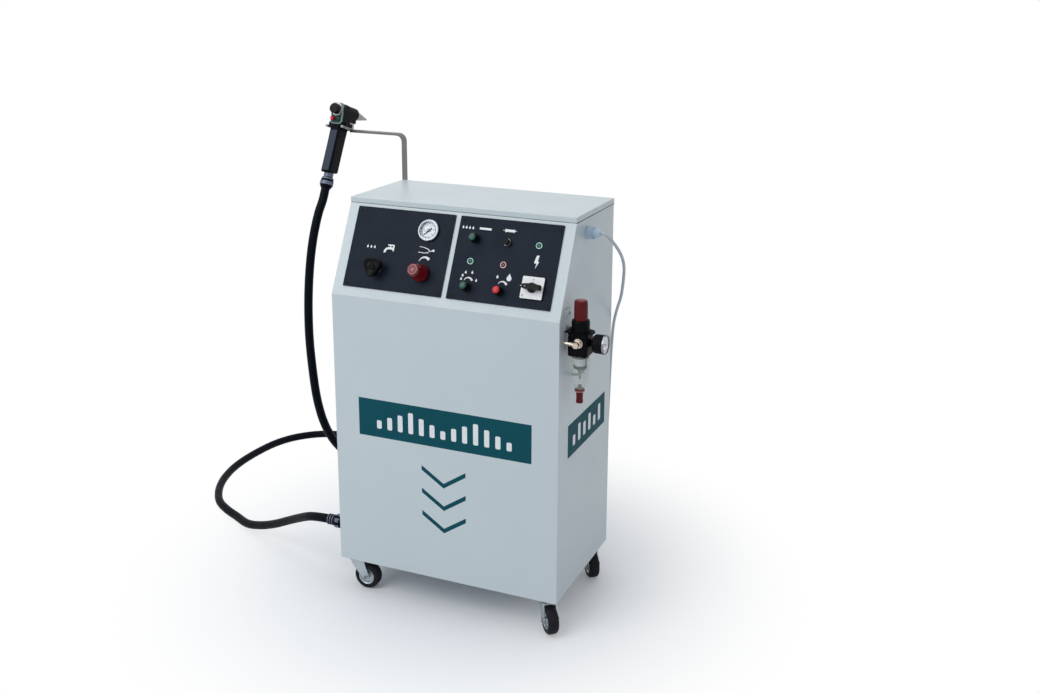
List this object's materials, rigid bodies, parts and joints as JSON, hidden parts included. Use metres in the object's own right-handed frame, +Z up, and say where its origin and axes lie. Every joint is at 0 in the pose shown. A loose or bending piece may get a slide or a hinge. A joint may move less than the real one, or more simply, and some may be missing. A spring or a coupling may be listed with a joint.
{
  "type": "glue dosing machine",
  "caption": "Glue dosing machine: sheet cabinet on castors with sloping control panels, filter regulator, glue hose and a gun in a fork.",
  "frame": {"origin": "middle of the footprint's box without the cords, on the floor", "axes": "+Z up, -Y towards the front of the cabinet, +X towards its filter side"},
  "size_m": [1.2303, 0.7619, 1.0553],
  "materials": {
    "zinc_steel": null,
    "cabinet_paint": null,
    "cable_grey": null,
    "gland_grey": null,
    "tyre_rubber": null,
    "board_green": null,
    "dose_knob_plastic": null,
    "black_plastic": null,
    "clear_plastic": null,
    "dark_red_plastic": null,
    "filter_white": null,
    "knob_black": null,
    "bright_steel": null,
    "clear_glass": null,
    "needle_black": null,
    "hose_rubber": null,
    "stainless_steel": null,
    "gun_black": null,
    "gun_green_button_plastic": null,
    "nozzle_beige": null,
    "gun_red_button_plastic": null,
    "mode_knob_plastic": null,
    "air_tube_grey": null,
    "panel_black": null,
    "grey_casting": null,
    "time_knob_plastic": null,
    "brass": null
  },
  "bodies": {
    "machine": {"base_plate": "zinc_steel", "cabinet_body": "cabinet_paint", "cable_coil": "cable_grey", "cable_gland": "gland_grey", "control_board": "board_green", "filter_body": "black_plastic", "filter_bonnet": "black_plastic", "filter_bowl": "clear_plastic", "filter_bracket": "black_plastic", "filter_element": "filter_white", "filter_gauge": "black_plastic", "fuse_holder": "knob_black", "gauge_case": "bright_steel", "gauge_glass": "clear_glass", "glue_hose": "hose_rubber", "glue_tank": "stainless_steel", "holder_bar": "zinc_steel", "holder_bracket": "zinc_steel", "hose_fitting": "zinc_steel", "inlet_nipple": "bright_steel", "lamp_dose": "bright_steel", "lamp_mains": "bright_steel", "lamp_time": "bright_steel", "lid_hinge": "zinc_steel", "main_switch": "knob_black", "mains_cable": "cable_grey", "mains_plug": "black_plastic", "outlet_tube": "air_tube_grey", "panel_left": "panel_black", "panel_right": "panel_black", "pressure_regulator": "grey_casting", "rear_panel": "cabinet_paint", "solenoid_valve": "black_plastic", "valve_body": "brass"},
    "lid": {"lid": "cabinet_paint"},
    "needle": {"gauge_needle": "needle_black"},
    "valve": {"valve_knob": "knob_black"},
    "pressure": {"pressure_knob": "dark_red_plastic"},
    "mode": {"mode_knob": "mode_knob_plastic"},
    "dose": {"dose_knob": "dose_knob_plastic"},
    "time": {"time_knob": "time_knob_plastic"},
    "fuse": {"fuse_cap": "knob_black"},
    "switch": {"switch_lever": "knob_black"},
    "filter_adjuster": {"filter_knob": "dark_red_plastic"},
    "drain": {"filter_drain": "dark_red_plastic"},
    "gun": {"gun_body": "gun_black", "gun_nozzle": "nozzle_beige"},
    "gun_adjuster": {"gun_knob": "gun_black"},
    "trigger": {"gun_trigger": "nozzle_beige"},
    "red_button": {"gun_red_button": "gun_red_button_plastic"},
    "green_button": {"gun_green_button": "gun_green_button_plastic"},
    "tank_cover": {"tank_lid": "stainless_steel"},
    "castor_front_left": {"castor_fork_front_left": "zinc_steel"},
    "wheel_front_left": {"castor_wheel_front_left": "tyre_rubber"},
    "castor_front_right": {"castor_fork_front_right": "zinc_steel"},
    "wheel_front_right": {"castor_wheel_front_right": "tyre_rubber"},
    "castor_rear_left": {"castor_fork_rear_left": "zinc_steel"},
    "wheel_rear_left": {"castor_wheel_rear_left": "tyre_rubber"},
    "castor_rear_right": {"castor_fork_rear_right": "zinc_steel"},
    "wheel_rear_right": {"castor_wheel_rear_right": "tyre_rubber"}
  },
  "joints": [
    {"name": "lid_hinge", "type": "hinge", "parent": "machine", "child": "lid", "pos_m": [0.05143, 0.10877, 0.872], "axis": [-1, 0, 0], "range_deg": [0, 85]},
    {"name": "gauge_needle_turn", "type": "hinge", "parent": "machine", "child": "needle", "pos_m": [-0.00844, -0.14109, 0.83145], "axis": [0, 0.9003, -0.4353], "range_deg": [0, 270]},
    {"name": "valve_turn", "type": "hinge", "parent": "machine", "child": "valve", "pos_m": [-0.11261, -0.17898, 0.7478], "axis": [0, -0.9003, 0.4353], "range_deg": [0, 90]},
    {"name": "pressure_turn", "type": "hinge", "parent": "machine", "child": "pressure", "pos_m": [-0.00751, -0.17885, 0.74807], "axis": [0, 0.9003, -0.4353], "range_deg": [-720, 720]},
    {"name": "mode_select", "type": "hinge", "parent": "machine", "child": "mode", "pos_m": [0.10049, -0.14207, 0.82414], "axis": [0, 0.9003, -0.4353], "range_deg": [0, 60]},
    {"name": "dose_turn", "type": "hinge", "parent": "machine", "child": "dose", "pos_m": [0.10049, -0.18612, 0.73303], "axis": [0, 0.9003, -0.4353], "range_deg": [-150, 150]},
    {"name": "time_turn", "type": "hinge", "parent": "machine", "child": "time", "pos_m": [0.174, -0.18647, 0.73231], "axis": [0, 0.9003, -0.4353], "range_deg": [-150, 150]},
    {"name": "fuse_cap_turn", "type": "hinge", "parent": "machine", "child": "fuse", "pos_m": [0.17193, -0.14233, 0.8236], "axis": [0, -0.9003, 0.4353], "range_deg": [0, 90]},
    {"name": "main_switch_turn", "type": "hinge", "parent": "machine", "child": "switch", "pos_m": [0.24428, -0.1802, 0.74528], "axis": [0, 0.9003, -0.4353], "range_deg": [0, 90]},
    {"name": "filter_pressure_turn", "type": "hinge", "parent": "machine", "child": "filter_adjuster", "pos_m": [0.34043, -0.16593, 0.6893], "axis": [0, 0, 1], "range_deg": [-720, 720]},
    {"name": "drain_turn", "type": "hinge", "parent": "machine", "child": "drain", "pos_m": [0.34043, -0.16593, 0.5445], "axis": [0, 0, 1], "range_deg": [0, 360]},
    {"name": "gun_lift", "type": "slide", "parent": "machine", "child": "gun", "axis": [0, 0.2957, 0.9553], "range_m": [0, 0.08]},
    {"name": "gun_adjuster_turn", "type": "hinge", "parent": "gun", "child": "gun_adjuster", "pos_m": [-0.37207, 0.09589, 1.03902], "axis": [0, -0.9553, 0.2957], "range_deg": [-360, 360]},
    {"name": "trigger_pull", "type": "hinge", "parent": "gun", "child": "trigger", "pos_m": [-0.37207, 0.15162, 1.00398], "axis": [-1, 0, 0], "range_deg": [0, 14], "stiffness_Nm_per_rad": 0.3, "springref_deg": -8.59},
    {"name": "red_button_press", "type": "slide", "parent": "gun", "child": "red_button", "axis": [0, 0.9553, -0.2957], "range_m": [0, 0.002], "stiffness_N_per_m": 200, "springref_m": -0.0015},
    {"name": "green_button_press", "type": "slide", "parent": "gun", "child": "green_button", "axis": [0, 0.9553, -0.2957], "range_m": [0, 0.002], "stiffness_N_per_m": 200, "springref_m": -0.0015},
    {"name": "tank_cover_lift", "type": "slide", "parent": "machine", "child": "tank_cover", "axis": [0, 0, 1], "range_m": [0, 0.15]},
    {"name": "swivel_front_left", "type": "hinge", "parent": "machine", "child": "castor_front_left", "pos_m": [-0.17657, -0.17893, 0.076], "axis": [0, 0, 1], "continuous": true},
    {"name": "roll_front_left", "type": "hinge", "parent": "castor_front_left", "child": "wheel_front_left", "pos_m": [-0.15659, -0.17823, 0.03], "axis": [0.0349, -0.9994, 0], "continuous": true},
    {"name": "swivel_front_right", "type": "hinge", "parent": "machine", "child": "castor_front_right", "pos_m": [0.27943, -0.17893, 0.076], "axis": [0, 0, 1], "continuous": true},
    {"name": "roll_front_right", "type": "hinge", "parent": "castor_front_right", "child": "wheel_front_right", "pos_m": [0.29281, -0.19379, 0.03], "axis": [-0.7431, -0.6691, 0], "continuous": true},
    {"name": "swivel_rear_left", "type": "hinge", "parent": "machine", "child": "castor_rear_left", "pos_m": [-0.17657, 0.07707, 0.076], "axis": [0, 0, 1], "continuous": true},
    {"name": "roll_rear_left", "type": "hinge", "parent": "castor_rear_left", "child": "wheel_rear_left", "pos_m": [-0.1714, 0.05775, 0.03], "axis": [-0.9659, -0.2588, 0], "continuous": true},
    {"name": "swivel_rear_right", "type": "hinge", "parent": "machine", "child": "castor_rear_right", "pos_m": [0.27943, 0.07707, 0.076], "axis": [0, 0, 1], "continuous": true},
    {"name": "roll_rear_right", "type": "hinge", "parent": "castor_rear_right", "child": "wheel_rear_right", "pos_m": [0.29174, 0.06131, 0.03], "axis": [-0.788, -0.6157, 0], "continuous": true}
  ]
}
